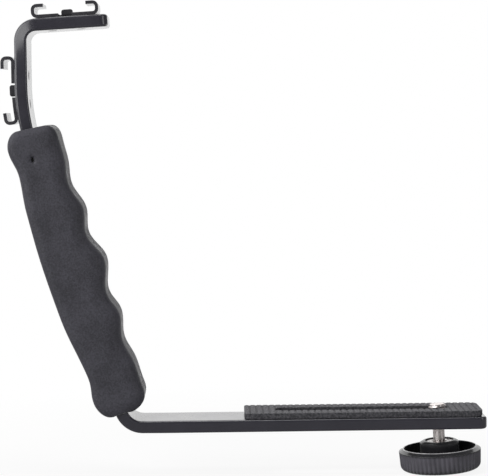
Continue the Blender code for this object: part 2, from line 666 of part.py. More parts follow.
def make_screw(material, axis):
    """The camera screw: a thread above the bar, and a thinner neck through slot and knob."""
    insert_top = knob_levels()[4]
    tip = SCREW_PROUD
    shoulder = BAR_TOP_Z + SEAT_GAP + RETAINER_THICKNESS + SEAT_GAP
    foot = insert_top - INSERT_HEIGHT
    thread, neck = THREAD_DIAMETER / 2, NECK_DIAMETER / 2
    profile = [(0, tip), (thread - THREAD_CHAMFER, tip), (thread, tip - THREAD_CHAMFER),
               (thread, shoulder + THREAD_CHAMFER / 2), (thread - THREAD_CHAMFER / 2, shoulder),
               (neck, shoulder), (neck, foot), (0, foot)]
    screw = make_object("camera_screw", turned(profile), material, smooth=True)
    hang(screw, axis)


def main():
    """Build every piece."""
    clear_scene()
    bar_enamel = make_material("bar_enamel", (0.035, 0.034, 0.039), 0.38)
    grip_rubber = make_material("grip_rubber", (0.055, 0.054, 0.059), 0.78)
    pad_rubber = make_material("pad_rubber", (0.050, 0.050, 0.055), 0.85)
    shoe_steel = make_material("shoe_steel", (0.025, 0.025, 0.028), 0.35)
    rivet_steel = make_material("rivet_steel", (0.030, 0.030, 0.033), 0.40)
    bright_steel = make_material("bright_steel", (0.72, 0.70, 0.69), 0.22, metallic=1.0)
    insert_brass = make_material("insert_brass", (0.62, 0.52, 0.34), 0.30, metallic=1.0)
    knob_plastic = make_material("knob_plastic", (0.040, 0.039, 0.045), 0.45)

    make_bar(bar_enamel)
    make_grip(grip_rubber)
    make_pad(pad_rubber)
    for name, station in shoe_stations().items():
        make_shoe(name, station, shoe_steel)
        make_rivets(name, station, rivet_steel)

    # The retainer slides flat on the bar, and all the rest turns about the leaning axis
    retainer = make_washer("retaining_washer", THREAD_DIAMETER, BAR_TOP_Z + SEAT_GAP,
                           RETAINER_THICKNESS, bright_steel)
    retainer.location.x = SCREW_X
    axis = bpy.data.objects.new("screw_axis", None)
    axis.location = (SCREW_X, 0, BAR_MIDDLE_Z)
    axis.rotation_euler.y = -SCREW_LEAN
    bpy.context.scene.collection.objects.link(axis)
    washer_top = knob_levels()[3]
    thrust = make_washer("thrust_washer", WASHER_DIAMETER, washer_top - WASHER_THICKNESS,
                         WASHER_THICKNESS, bright_steel)
    hang(thrust, axis)
    make_screw(bright_steel, axis)
    make_insert(insert_brass, axis)
    make_knob(knob_plastic, axis)


main()
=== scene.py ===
"""Dresses the camera flash bracket for its picture: materials, finer pieces, light and camera."""

import json
import math

import bmesh
import bpy
from mathutils import Matrix, Vector


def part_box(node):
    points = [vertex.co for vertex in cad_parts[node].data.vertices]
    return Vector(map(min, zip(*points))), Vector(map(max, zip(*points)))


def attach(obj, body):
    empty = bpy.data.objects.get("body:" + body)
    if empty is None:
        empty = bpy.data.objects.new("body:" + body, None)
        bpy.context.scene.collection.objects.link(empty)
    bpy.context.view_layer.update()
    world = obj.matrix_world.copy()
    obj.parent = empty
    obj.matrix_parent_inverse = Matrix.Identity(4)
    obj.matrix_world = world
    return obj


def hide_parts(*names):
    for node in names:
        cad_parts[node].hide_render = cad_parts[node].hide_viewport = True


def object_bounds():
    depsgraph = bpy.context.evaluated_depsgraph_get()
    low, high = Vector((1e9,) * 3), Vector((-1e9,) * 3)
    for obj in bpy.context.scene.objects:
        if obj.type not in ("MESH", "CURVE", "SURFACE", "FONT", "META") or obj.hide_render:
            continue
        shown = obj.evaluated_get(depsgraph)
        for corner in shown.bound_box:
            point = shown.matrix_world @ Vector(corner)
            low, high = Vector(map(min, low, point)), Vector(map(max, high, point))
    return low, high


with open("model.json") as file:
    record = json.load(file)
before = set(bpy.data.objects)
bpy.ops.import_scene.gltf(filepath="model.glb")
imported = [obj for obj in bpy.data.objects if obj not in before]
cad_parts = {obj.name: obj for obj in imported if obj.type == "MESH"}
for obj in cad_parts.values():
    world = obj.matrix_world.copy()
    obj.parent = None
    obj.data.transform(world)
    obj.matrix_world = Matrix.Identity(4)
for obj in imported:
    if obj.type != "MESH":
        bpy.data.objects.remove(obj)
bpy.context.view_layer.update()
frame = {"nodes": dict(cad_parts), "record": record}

# Places taken from the frame. The slide's reach is negative, towards the bend
bodies = frame["record"]["behaviour"]["bodies"]
body_of_node = {node: body for body, nodes in bodies.items() for node in nodes}
joints = {joint["name"]: joint for joint in frame["record"]["behaviour"]["joints"]}
slide_reach = joints["screw_slide"]["range_m"][0]
screw_pivot = Vector(joints["knob_turn"]["pos_m"])
screw_axis = Vector(joints["knob_turn"]["axis"])
screw_lean = math.atan2(screw_axis.x, screw_axis.z)

# Lengths are in metres. Points, cuts and levels this close together count as one
MERGE_DISTANCE = 0.000002
CUT_TOLERANCE = 0.0000001
LEVEL_TOLERANCE = 0.00001

# Degrees between two faces, past which they aren't one flat face, or their edge is sharp
FLAT_WITHIN = 0.4
RIB_EDGE = 25.0
THREAD_EDGE = 32.0
SMALL_EDGE = 40.0
SHARP_EDGE = 50.0
CORNER_EDGE = 60.0

# Grip
GRIP_VOXEL = 0.00042
GRIP_SMOOTHING = 0.5
GRIP_SMOOTHING_ROUNDS = 20
GRIP_FILL = 0.00018

# Shoes and other small pieces
SHEET_EDGE_BEVEL = 0.00024
SHEET_COATING = 0.00014
SMALL_EDGE_BEVEL = 0.00006

# Pad
RIB_PITCH = 0.00235
RIB_GROOVE_RADIUS = 0.00085
RIB_GROOVE_DEPTH = 0.00021
RIB_GROOVE_SIDES = 28
PAD_PLAIN_END = 0.0016
PAD_BED = 0.00025

# Screw. The thread's flat crest starts and ends at these shares of a pitch
THREAD_PITCH = 0.00127
THREAD_ROOT_RADIUS = 0.00258
THREAD_OUTER_RADIUS = 0.00330
CREST_START, CREST_END = 0.44, 0.56
THREAD_STEPS = 64
THREAD_SPARE_TURNS = 4

# Bar: its section, and its runs from the free end as length or bend angle with the centre line's radius
BAR_THICKNESS = 0.0045
BAR_END_ROUND = 0.0030
BAR_EDGE_ROUND = 0.0009
BAR_HOLE_BEVEL = 0.00022
BAR_SLOT_WIDTH = 0.0052
BOTTOM_ARM = 0.1246
BOTTOM_BEND, BOTTOM_BEND_RADIUS = math.radians(66.0), 0.00815
HANDLE_BOW, HANDLE_LENGTH = math.radians(13.0), 0.1096
NECK_BEND, NECK_BEND_RADIUS = math.radians(11.0), 0.0780
NECK_LENGTH = 0.0150
TOP_BEND, TOP_BEND_RADIUS = math.radians(86.7), 0.00565
TOP_ARM = 0.0257
BOTTOM_BEND_STEPS, HANDLE_STEPS, NECK_STEPS, TOP_BEND_STEPS = 14, 12, 8, 18
END_ROUND_STEPS, EDGE_ROUND_STEPS, SLOT_END_STEPS = 8, 5, 14

# Bar: how far a bend's inner side spreads, as a share, and how far past the bend this runs out
BEND_SWELL = 0.052
SWELL_RUN = 0.0115
SWELL_STEPS = 4

# Rivets, whose tails are hammered flush
RIVET_HOLE_RADIUS = 0.0014
RIVET_HOLE_SIDES = 36
RIVET_TAIL_RADIUS = 0.0016
RIVET_TAIL_HEIGHT = 0.0002
RIVET_TAIL_DROP = 0.0005
RIVET_TAIL_PROUD = 0.00004
RIVET_SINK_CLEARANCE = 0.00010

# Knob, measured on the screw's own axis. A flute's points dip by these shares of its depth
KNOB_RADIUS = 0.0150
KNOB_LOW_RADIUS = 0.0146
KNOB_RIM_Z = -0.0158
KNOB_UNDERSIDE_Z = -0.0229
KNOB_FOOT_ROUND = 0.0020
KNOB_FOOT_STEPS = 5
KNOB_FLUTES = 54
FLUTE_DIPS = (0.0, 0.25, 0.75, 1.0, 0.75, 0.25)
FLUTE_DEPTH = 0.0004
FLUTE_TOP_Z = -0.0163
RIM_EDGE_ROUND = 0.0005
RIM_CREST_Z = -0.0148
CREST_OUTER_RADIUS = 0.0134
CAVITY_RADIUS = 0.0131
CAVITY_FLOOR_Z = -0.0206
BOSS_RADIUS = 0.00715
BOSS_TOP_RADIUS = 0.00595
BOSS_SHOULDER_Z = -0.0128
BOSS_TOP_Z = -0.0122
BORE_RADIUS = 0.0052
BORE_FLOOR_Z = -0.0193
DISH_RADIUS = 0.0115
DISH_DEPTH = 0.0005
KNOB_EDGE_BEVEL = 0.00022

# Floor, as the camera sees it: shaded by the lamps near the object, and plain white further out
FLOOR_SIZE = 16.0
FLOOR_DROP = 0.0001
FLOOR_PALE = 0.80
NEAR_SHADE = 0.17
NEAR_GLOW = 0.88
WHITE_START, WHITE_END = 0.10, 0.22

# Floor, as gloss shows it: how bright it is, and how far behind the object this changes
MIRRORED_NEAR, MIRRORED_FAR = 0.26, 1.0
MIRRORED_START, MIRRORED_END = 0.03, 0.40
WHITE = (1.0, 1.0, 1.0, 1.0)

# World. What gloss shows of it gets brighter towards the back, the left and above
BRIGHT_WAY = (-1.1, 1.0, 0.5)
BRIGHT_START, BRIGHT_END = 0.22, 0.62
REFLECTED_LOW, REFLECTED_HIGH = 0.12, 1.0
AMBIENT = 0.22

# Lamps, as name, place, width, height and watts, all turned to the middle of the object
LAMP_TARGET = Vector((0.0, 0.0, 0.06))
LAMPS = (
    ("key_lamp", (-1.00, -0.87, 0.50), 1.3, 1.3, 13.4),
    ("strip_lamp", (1.00, -0.65, 0.15), 0.40, 1.3, 2.6),
    ("top_lamp", (0.05, -0.10, 0.95), 0.34, 0.34, 1.6),
)

# Camera, fitted to the photograph's edges, in its pixels from the top left corner
PICTURE_WIDTH = 488.0
PICTURE_MIDDLE = (244.0, 238.0)
STRAIGHT_BACK = (201.0, 113.0)
FOCAL_LENGTH = 1855.3
CAMERA_ROLL = math.radians(-0.6175)
CAMERA_PLACE = (-0.02033, -0.6726, 0.1082)
SENSOR_WIDTH = 36.0
NEAREST_SEEN = 0.01


# Shader nodes

def add(tree, kind, wires=None, **settings):
    """A shader node: settings are its options, and wires its inputs, each a value or an output."""
    made = tree.nodes.new(kind)
    for option, value in settings.items():
        setattr(made, option, value)
    for socket, value in (wires or {}).items():
        if isinstance(value, bpy.types.NodeSocket):
            tree.links.new(value, made.inputs[socket])
        else:
            made.inputs[socket].default_value = value
    return made


def new_finish(name, roughness, metallic=0.0, **shader_values):
    """A material with its shader's even values set on the shader itself."""
    material = bpy.data.materials.new(name)
    material.use_nodes = True
    tree = material.node_tree
    shader = tree.nodes["Principled BSDF"]
    shader.inputs["Roughness"].default_value = roughness
    shader.inputs["Metallic"].default_value = metallic
    for socket, value in shader_values.items():
        shader.inputs[socket.replace("_", " ")].default_value = value
    place = add(tree, "ShaderNodeTexCoord").outputs["Object"]
    return material, tree, shader, place


def stretched(tree, place, scale):
    """The same coordinates, finer or coarser along each axis."""
    return add(tree, "ShaderNodeMapping", {"Vector": place, "Scale": scale}).outputs["Vector"]


def cloud(tree, place, scale, detail=3.0, roughness=0.55):
    """Soft noise from 0 to 1, with about this many blotches to the metre."""
    wires = {"Vector": place, "Scale": scale, "Detail": detail, "Roughness": roughness}
    return add(tree, "ShaderNodeTexNoise", wires).outputs["Fac"]


def cells(tree, place, scale, smoothness):
    """The distance to the nearest of many scattered points, for a pebbled grain."""
    wires = {"Vector": place, "Scale": scale, "Smoothness": smoothness}
    return add(tree, "ShaderNodeTexVoronoi", wires, feature="SMOOTH_F1").outputs["Distance"]


def between(tree, amount, low, high, start=0.3, end=0.7):
    """A number that goes from low to high while an amount goes from start to end."""
    wires = {"Value": amount, "From Min": start, "From Max": end, "To Min": low, "To Max": high}
    return add(tree, "ShaderNodeMapRange", wires).outputs["Result"]


def tint(tree, amount, dark, light, start, end):
    """A colour that goes from dark to light while an amount goes from start to end."""
    ramp = add(tree, "ShaderNodeValToRGB", {"Fac": amount})
    first, last = ramp.color_ramp.elements
    first.position, last.position = start, end
    first.color, last.color = (*dark, 1.0), (*light, 1.0)
    return ramp.outputs["Color"]


def mixed(tree, amount, first, second):
    """One colour that gives way to another. A Mix node's colours are its inputs 6 and 7 and output 2."""
    blend = add(tree, "ShaderNodeMix", data_type="RGBA")
    for index, value in ((0, amount), (6, first), (7, second)):
        tree.links.new(value, blend.inputs[index])
    return blend.outputs[2]


def relief(tree, height, strength, distance, below=None):
    """Bumps from a height, over others below them."""
    wires = {"Height": height, "Strength": strength, "Distance": distance}
    if below is not None:
        wires["Normal"] = below
    return add(tree, "ShaderNodeBump", wires).outputs["Normal"]


def combine(tree, operation, first, second):
    """Arithmetic on two numbers."""
    math_node = add(tree, "ShaderNodeMath", operation=operation)
    for socket, value in zip(math_node.inputs, (first, second)):
        if isinstance(value, bpy.types.NodeSocket):
            tree.links.new(value, socket)
        else:
            socket.default_value = value
    return math_node.outputs["Value"]


def shared(tree, first, share, second):
    """Two patterns as one: the first has this share in it, and the second the rest."""
    return combine(tree, "ADD", combine(tree, "MULTIPLY", first, share),
                   combine(tree, "MULTIPLY", second, 1.0 - share))


def connect(tree, shader, color, roughness, normal):
    """Wire the patterns to the shader."""
    for socket, value in (("Base Color", color), ("Roughness", roughness), ("Normal", normal)):
        tree.links.new(value, shader.inputs[socket])


# Finishes

def bar_enamel():
    """Black stoved enamel: glossy at a glance, with a faint orange peel and fine rubbed streaks."""
    material, tree, shader, place = new_finish(
        "bar_enamel", 0.3, Specular_IOR_Level=0.35, Coat_Weight=1.0, Coat_Roughness=0.16, Coat_IOR=1.55)
    peel = cloud(tree, place, 1100.0, detail=2.0)
    haze = cloud(tree, place, 60.0, detail=4.0)
    streaks = cloud(tree, stretched(tree, place, (12.0, 900.0, 12.0)), 1.0, detail=5.0, roughness=0.7)
    color = tint(tree, shared(tree, haze, 0.6, streaks),
                 (0.0250, 0.0238, 0.0340), (0.0350, 0.0335, 0.0465), 0.36, 0.64)
    gloss = between(tree, haze, 0.25, 0.38)
    connect(tree, shader, color, gloss, relief(tree, peel, 0.025, 0.0002))
    return material


def grip_rubber():
    """Matte moulded rubber with a fine pebbled grain and faint rubbed patches."""
    material, tree, shader, place = new_finish(
        "grip_rubber", 0.55, Specular_IOR_Level=0.45, Sheen_Weight=1.0, Sheen_Roughness=0.20)
    pebbles = cells(tree, place, 2300.0, 0.5)
    fine = cloud(tree, place, 5200.0, detail=2.0)
    patches = cloud(tree, place, 95.0, detail=4.0, roughness=0.6)
    speckle = cloud(tree, place, 1500.0, detail=3.0, roughness=0.7)
    color = tint(tree, shared(tree, patches, 0.4, speckle),
                 (0.036, 0.035, 0.044), (0.070, 0.068, 0.085), 0.40, 0.60)
    rough = between(tree, patches, 0.48, 0.62)
    normal = relief(tree, fine, 0.25, 0.0001, relief(tree, pebbles, 0.45, 0.00016))
    connect(tree, shader, color, rough, normal)
    return material


def pad_rubber():
    """Denser rubber with a coarse grain, painted lighter on top of its ribs as painted light."""
    material, tree, shader, place = new_finish("pad_rubber", 0.8, Specular_IOR_Level=0.45)
    grain = cells(tree, place, 1500.0, 0.4)
    dust = cloud(tree, place, 1150.0, detail=4.0, roughness=0.7)
    # Painted light: the rib tops get a lighter grey than the rubber's own colour, which the grooves keep
    painted_light_tops = tint(tree, dust, (0.090, 0.089, 0.098), (0.240, 0.236, 0.252), 0.42, 0.60)
    plain_rubber = tint(tree, dust, (0.028, 0.028, 0.033), (0.090, 0.088, 0.098), 0.42, 0.60)
    # The pad's top is at height 0
    height = add(tree, "ShaderNodeSeparateXYZ", {"Vector": place}).outputs["Z"]
    on_ribs = between(tree, height, 0.0, 1.0, -1.3 * RIB_GROOVE_DEPTH, -0.3 * RIB_GROOVE_DEPTH)
    color = mixed(tree, on_ribs, plain_rubber, painted_light_tops)
    rough = between(tree, dust, 0.66, 0.86)
    connect(tree, shader, color, rough, relief(tree, grain, 0.55, 0.00022))
    return material


def shoe_steel():
    """Black coating on pressed sheet: smooth, a little mottled, with fine draw lines."""
    material, tree, shader, place = new_finish(
        "shoe_steel", 0.3, Specular_IOR_Level=0.5, Coat_Weight=0.8, Coat_Roughness=0.10, Coat_IOR=1.5)
    mottle = cloud(tree, place, 260.0, detail=4.0)
    lines = cloud(tree, stretched(tree, place, (60.0, 2200.0, 60.0)), 1.0, detail=3.0, roughness=0.6)
    color = tint(tree, mottle, (0.030, 0.029, 0.035), (0.050, 0.048, 0.056), 0.36, 0.64)
    rough = between(tree, mottle, 0.24, 0.38)
    connect(tree, shader, color, rough, relief(tree, lines, 0.08, 0.0001))
    return material


def rivet_steel():
    """Black coated rivets, worn lighter on the heads."""
    material, tree, shader, place = new_finish("rivet_steel", 0.34, Specular_IOR_Level=0.5)
    wear = cloud(tree, place, 900.0, detail=4.0, roughness=0.65)
    color = tint(tree, wear, (0.016, 0.016, 0.018), (0.045, 0.044, 0.046), 0.45, 0.75)
    rough = between(tree, wear, 0.28, 0.45)
    connect(tree, shader, color, rough, relief(tree, wear, 0.15, 0.0001))
    return material


def bright_steel():
    """Bright nickel plate over turned steel, with the tool's fine rings and small dull spots."""
    material, tree, shader, place = new_finish("bright_steel", 0.2, metallic=1.0)
    rings = cloud(tree, stretched(tree, place, (30.0, 30.0, 5200.0)), 1.0, detail=3.0, roughness=0.6)
    stain = cloud(tree, place, 1300.0, detail=4.0, roughness=0.7)
    color = tint(tree, stain, (0.54, 0.47, 0.45), (0.99, 0.93, 0.91), 0.36, 0.52)
    rough = between(tree, stain, 0.24, 0.42)
    connect(tree, shader, color, rough, relief(tree, rings, 0.16, 0.00006))
    return material


def worn_plate():
    """The same plate on the washers, worn through to dark specks where they rub."""
    material, tree, shader, place = new_finish("worn_plate", 0.25, metallic=1.0)
    specks = cloud(tree, place, 1500.0, detail=3.0, roughness=0.7)
    color = tint(tree, specks, (0.06, 0.055, 0.05), (0.98, 0.94, 0.93), 0.46, 0.54)
    rough = between(tree, specks, 0.45, 0.24)
    connect(tree, shader, color, rough, relief(tree, specks, 0.2, 0.00008))
    return material


def insert_brass():
    """Turned brass, dulled between its knurls."""
    material, tree, shader, place = new_finish("insert_brass", 0.3, metallic=1.0)
    tarnish = cloud(tree, place, 700.0, detail=4.0, roughness=0.6)
    color = tint(tree, tarnish, (0.48, 0.37, 0.20), (0.66, 0.55, 0.36), 0.35, 0.65)
    rough = between(tree, tarnish, 0.24, 0.42)
    connect(tree, shader, color, rough, relief(tree, tarnish, 0.1, 0.00008))
    return material


def knob_plastic():
    """Black moulded plastic, matte on its fluted wall and glossy above it, with painted light on the wall,
    painted shade in the hollow and a painted highlight on the crest.
    """
    material, tree, shader, place = new_finish(
        "knob_plastic", 0.4, Specular_IOR_Level=0.5, Sheen_Weight=0.25, Sheen_Roughness=0.4)
    # Height and radius on the knob's own axis tell its wall, its crest and its inside apart
    centred = add(tree, "ShaderNodeMapping", {
        "Vector": place, "Location": screw_pivot, "Rotation": (0.0, screw_lean, 0.0)},
        vector_type="TEXTURE").outputs["Vector"]
    height = add(tree, "ShaderNodeSeparateXYZ", {"Vector": centred}).outputs["Z"]
    flat = add(tree, "ShaderNodeVectorMath", {0: centred, 1: (1.0, 1.0, 0.0)}, operation="MULTIPLY")
    from_axis = add(tree, "ShaderNodeVectorMath", {0: flat.outputs["Vector"]}, operation="LENGTH")
    radius = from_axis.outputs["Value"]
    flute_bottom = KNOB_RADIUS - FLUTE_DEPTH
    flute_top = FLUTE_TOP_Z - screw_pivot.z
    outside = between(tree, radius, 0.0, 1.0, flute_bottom - RIM_EDGE_ROUND, flute_bottom)
    below_rim = between(tree, height, 1.0, 0.0, flute_top - FLUTE_DEPTH, flute_top + FLUTE_DEPTH)
    on_wall = combine(tree, "MULTIPLY", outside, below_rim)
    crest = RIM_CREST_Z - screw_pivot.z
    outside_hollow = between(tree, radius, 0.0, 1.0, CAVITY_RADIUS - KNOB_EDGE_BEVEL, CAVITY_RADIUS)
    at_crest = between(tree, height, 0.0, 1.0, crest - KNOB_EDGE_BEVEL, crest - 0.3 * KNOB_EDGE_BEVEL)
    crest_highlight_mask = combine(tree, "MULTIPLY", outside_hollow, at_crest)
    grain = cloud(tree, place, 3600.0, detail=3.0, roughness=0.6)
    sheen = cloud(tree, place, 180.0, detail=3.0)
    # Painted light and shade: the fluted wall gets a lighter tone than the plastic's own black, partly as
    # painted light, and the hollow, rim and underside a darker one as painted shade
    wall = tint(tree, sheen, (0.075, 0.072, 0.086), (0.105, 0.100, 0.120), 0.36, 0.64)
    inside = tint(tree, sheen, (0.019, 0.019, 0.022), (0.030, 0.029, 0.033), 0.36, 0.64)
    # A painted highlight: a light line round the crest's inner edge
    rubbed = tint(tree, sheen, (0.58, 0.57, 0.59), (0.96, 0.94, 0.96), 0.40, 0.60)
    color = mixed(tree, crest_highlight_mask, mixed(tree, on_wall, inside, wall), rubbed)
    rough = combine(tree, "ADD", between(tree, on_wall, 0.16, 0.50, 0.0, 1.0),
                    between(tree, sheen, -0.03, 0.03))
    connect(tree, shader, color, rough, relief(tree, grain, 0.12, 0.0001))
    return material


# Selecting and shaping

def only(item):
    """Select one object alone and make it active."""
    bpy.ops.object.select_all(action="DESELECT")
    item.select_set(True)
    bpy.context.view_layer.objects.active = item


def settle(item):
    """Put an object's place, turn and size into its mesh."""
    only(item)
    bpy.ops.object.transform_apply(location=True, rotation=True, scale=True)


def edit(item):
    """Open one object for editing with nothing selected."""
    only(item)
    bpy.ops.object.mode_set(mode="EDIT")
    bpy.ops.mesh.select_all(action="DESELECT")


def leave_edit():
    """Back to object mode."""
    bpy.ops.object.mode_set(mode="OBJECT")


def pick(item, kind, test):
    """Select the vertices, edges or faces of the open mesh that pass a test, and nothing else."""
    bpy.ops.mesh.select_all(action="DESELECT")
    bpy.ops.mesh.select_mode(type={"verts": "VERT", "edges": "EDGE", "faces": "FACE"}[kind])
    mesh = bmesh.from_edit_mesh(item.data)
    for element in getattr(mesh, kind):
        element.select_set(bool(test(element)))
    mesh.select_flush_mode()
    bmesh.update_edit_mesh(item.data)


def pull(way):
    """Extrude what is picked, and leave the new end picked."""
    bpy.ops.mesh.extrude_region_move(TRANSFORM_OT_translate={"value": way})


def merge_doubles():
    """Join the points of the open mesh that lie on each other, and leave the whole mesh picked."""
    bpy.ops.mesh.select_all(action="SELECT")
    bpy.ops.mesh.remove_doubles(threshold=MERGE_DISTANCE)


def face_outwards():
    """Turn all faces of the open mesh outwards."""
    bpy.ops.mesh.select_all(action="SELECT")
    bpy.ops.mesh.normals_make_consistent(inside=False)


def cut_across(height, upward=1, cut_off=False):
    """Cut the open mesh level at a height, and if wanted take off what lies past it."""
    bpy.ops.mesh.select_all(action="SELECT")
    bpy.ops.mesh.bisect(plane_co=(0, 0, height), plane_no=(0, 0, upward), clear_outer=cut_off,
                        threshold=CUT_TOLERANCE)


def use_modifier(item, kind, **settings):
    """Add a modifier, set it and apply it."""
    only(item)
    modifier = item.modifiers.new(kind.lower(), kind)
    for option, value in settings.items():
        setattr(modifier, option, value)
    bpy.ops.object.modifier_apply(modifier=modifier.name)


def combine_solids(item, tool, operation="DIFFERENCE"):
    """Cut with a tool, or keep what lies in it, and remove the tool."""
    use_modifier(item, "BOOLEAN", operation=operation, solver="MANIFOLD", object=tool)
    bpy.data.objects.remove(tool, do_unlink=True)


def smooth(item, degrees):
    """Smooth shading that keeps sharp edges sharp and flat faces flat."""
    only(item)
    bpy.ops.object.shade_smooth_by_angle(angle=math.radians(degrees))
    use_modifier(item, "WEIGHTED_NORMAL", keep_sharp=True)


def bevel_edges(item, width, segments=2, degrees=SHARP_EDGE):
    """Break the edges that are sharper than this."""
    use_modifier(item, "BEVEL", width=width, segments=segments, limit_method="ANGLE",
                 angle_limit=math.radians(degrees), miter_outer="MITER_ARC", use_clamp_overlap=True)


def merged_copy(node, name, whole_faces=True):
    """A copy of a CAD node with its loose triangles joined up and, if wanted, its flat faces made whole."""
    piece = bpy.data.objects.new(name, frame["nodes"][node].data.copy())
    bpy.context.scene.collection.objects.link(piece)
    edit(piece)
    merge_doubles()
    if whole_faces:
        bpy.ops.mesh.dissolve_limited(angle_limit=math.radians(FLAT_WITHIN))
    leave_edit()
    return piece


def lean_with_screw(item):
    """Tip a piece modelled upright into the loose screw's lean, and settle it in its mesh."""
    tilt = Matrix.Rotation(screw_lean, 4, "Y")
    item.matrix_world = (Matrix.Translation(screw_pivot) @ tilt @ Matrix.Translation(-screw_pivot)
                         @ item.matrix_world)
    settle(item)


def finished(piece, material, node):
    """Give a piece its material, and let it stand for its CAD node and ride with it."""
    piece.data.materials.clear()
    piece.data.materials.append(material)
    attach(piece, body_of_node[node])
    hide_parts(node)


# Bar and rivets

def draw_straight(rings, length, steps=1):
    """Pull the selected end face straight on, and note each new ring's station, place and way."""
    for _ in range(steps):
        station, place, way = rings[-1]
        pull(way * length / steps)
        rings.append((station + length / steps, place + way * length / steps, way))


def draw_bend(rings, angle, radius, steps):
    """Swing the selected end face round a bend, and note each new ring."""
    station, place, way = rings[-1]
    center = place + Vector((way.z, 0, -way.x)) * radius
    bpy.ops.mesh.spin(steps=steps, angle=angle, center=center, axis=(0, -1, 0))
    for step in range(1, steps + 1):
        turn = Matrix.Rotation(angle * step / steps, 3, "Y")
        rings.append((station + radius * angle * step / steps, center + turn @ (place - center), turn @ way))


def swell_bend(bar, rings, middle, reach):
    """Let a bend's inner side spread and its outer side draw in, as a bent bar does."""
    for station, place, way in rings:
        if abs(station - middle) >= reach:
            continue
        fullness = math.cos(math.pi / 2 * abs(station - middle) / reach) ** 2
        outward = Vector((-way.z, 0, way.x))
        for side in (1, -1):
            def on_this_side(vertex):
                offset = vertex.co - place
                beside = side * offset.dot(outward)
                return abs(offset.dot(way)) < MERGE_DISTANCE and 0 < beside < BAR_THICKNESS
            pick(bar, "verts", on_this_side)
            spread = 1 - side * BEND_SWELL * fullness
            bpy.ops.transform.resize(value=(1.0, spread, 1.0), center_override=(0, 0, 0))


def slot_tool():
    """A round-ended block for the screw's slot."""
    bpy.ops.object.select_all(action="DESELECT")
    bpy.ops.mesh.primitive_plane_add(size=1.0, location=(screw_pivot.x + slide_reach / 2, 0, BAR_THICKNESS))
    tool = bpy.context.object
    tool.scale = (BAR_SLOT_WIDTH - slide_reach, BAR_SLOT_WIDTH, 1.0)
    settle(tool)
    edit(tool)
    bpy.ops.mesh.select_all(action="SELECT")
    bpy.ops.mesh.bevel(offset=BAR_SLOT_WIDTH / 2, segments=SLOT_END_STEPS, affect="VERTICES")
    merge_doubles()
    pull((0, 0, -4 * BAR_THICKNESS))
    face_outwards()
    leave_edit()
    return tool


def drill(radius, depth, center, axis):
    """A round tool of this depth about a point on its axis."""
    bpy.ops.object.select_all(action="DESELECT")
    bpy.ops.mesh.primitive_cylinder_add(
        vertices=RIVET_HOLE_SIDES, radius=radius, depth=depth, location=center,
        rotation=axis.to_track_quat("Z", "Y").to_euler())
    tool = bpy.context.object
    settle(tool)
    return tool


def draw_bar(bar, rings):
    """Draw the picked section out along the bar's runs and bends, and swell the two tight bends."""
    draw_straight(rings, BOTTOM_ARM - SWELL_RUN)
    draw_straight(rings, SWELL_RUN, SWELL_STEPS)
    bottom_half = BOTTOM_BEND * BOTTOM_BEND_RADIUS / 2
    bottom_middle = BOTTOM_ARM + bottom_half
    draw_bend(rings, BOTTOM_BEND, BOTTOM_BEND_RADIUS, BOTTOM_BEND_STEPS)
    draw_bend(rings, HANDLE_BOW, HANDLE_LENGTH / HANDLE_BOW, HANDLE_STEPS)
    draw_bend(rings, NECK_BEND, NECK_BEND_RADIUS, NECK_STEPS)
    draw_straight(rings, NECK_LENGTH - SWELL_RUN)
    draw_straight(rings, SWELL_RUN, SWELL_STEPS)
    top_half = TOP_BEND * TOP_BEND_RADIUS / 2
    top_middle = rings[-1][0] + top_half
    draw_bend(rings, TOP_BEND, TOP_BEND_RADIUS, TOP_BEND_STEPS)
    draw_straight(rings, SWELL_RUN, SWELL_STEPS)
    draw_straight(rings, TOP_ARM - SWELL_RUN)
    swell_bend(bar, rings, bottom_middle, bottom_half + SWELL_RUN)
    swell_bend(bar, rings, top_middle, top_half + SWELL_RUN)


def make_bar(material, rivet_seats):
    """The bar, drawn out of one flat section, rounded, then slotted and drilled."""
    low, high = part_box("bracket_bar")
    place = Vector((high.x, 0, low.z + BAR_THICKNESS / 2))
    bpy.ops.object.select_all(action="DESELECT")
    bpy.ops.mesh.primitive_plane_add(size=1.0, location=place, rotation=(0, math.pi / 2, 0))
    bar = bpy.context.object
    bar.name = "bar_finished"
    bar.scale = (BAR_THICKNESS, high.y - low.y, 1.0)
    settle(bar)
    edit(bar)
    bpy.ops.mesh.select_all(action="SELECT")
    rings = [(0.0, place, Vector((-1, 0, 0)))]
    draw_bar(bar, rings)
    face_outwards()
    end_place, end_way = rings[-1][1:]

    def at_end(vertex):
        past_end = (vertex.co - end_place).dot(end_way) > -MERGE_DISTANCE and vertex.co.z > 0
        return vertex.co.x > high.x - MERGE_DISTANCE or past_end

    # Corners of both ends first, then the whole outline of both broad faces
    pick(bar, "edges", lambda e: all(at_end(v) for v in e.verts)
         and abs(e.verts[0].co.y - e.verts[1].co.y) < MERGE_DISTANCE)
    bpy.ops.mesh.bevel(offset=BAR_END_ROUND, segments=END_ROUND_STEPS, affect="EDGES")
    pick(bar, "edges", lambda edge: edge.calc_face_angle() > math.radians(CORNER_EDGE))
    bpy.ops.mesh.bevel(offset=BAR_EDGE_ROUND, segments=EDGE_ROUND_STEPS, affect="EDGES")
    leave_edit()
    combine_solids(bar, slot_tool())
    sink_depth = RIVET_TAIL_HEIGHT + RIVET_SINK_CLEARANCE
    sink_radius = RIVET_TAIL_RADIUS + RIVET_SINK_CLEARANCE
    for face_point, axis in rivet_seats:
        middle = face_point + axis * BAR_THICKNESS / 2
        combine_solids(bar, drill(RIVET_HOLE_RADIUS, 2 * BAR_THICKNESS, middle, axis))
        combine_solids(bar, drill(sink_radius, 2 * sink_depth, face_point, axis))
    bevel_edges(bar, BAR_HOLE_BEVEL, degrees=SMALL_EDGE)
    smooth(bar, SHARP_EDGE)
    finished(bar, material, "bracket_bar")


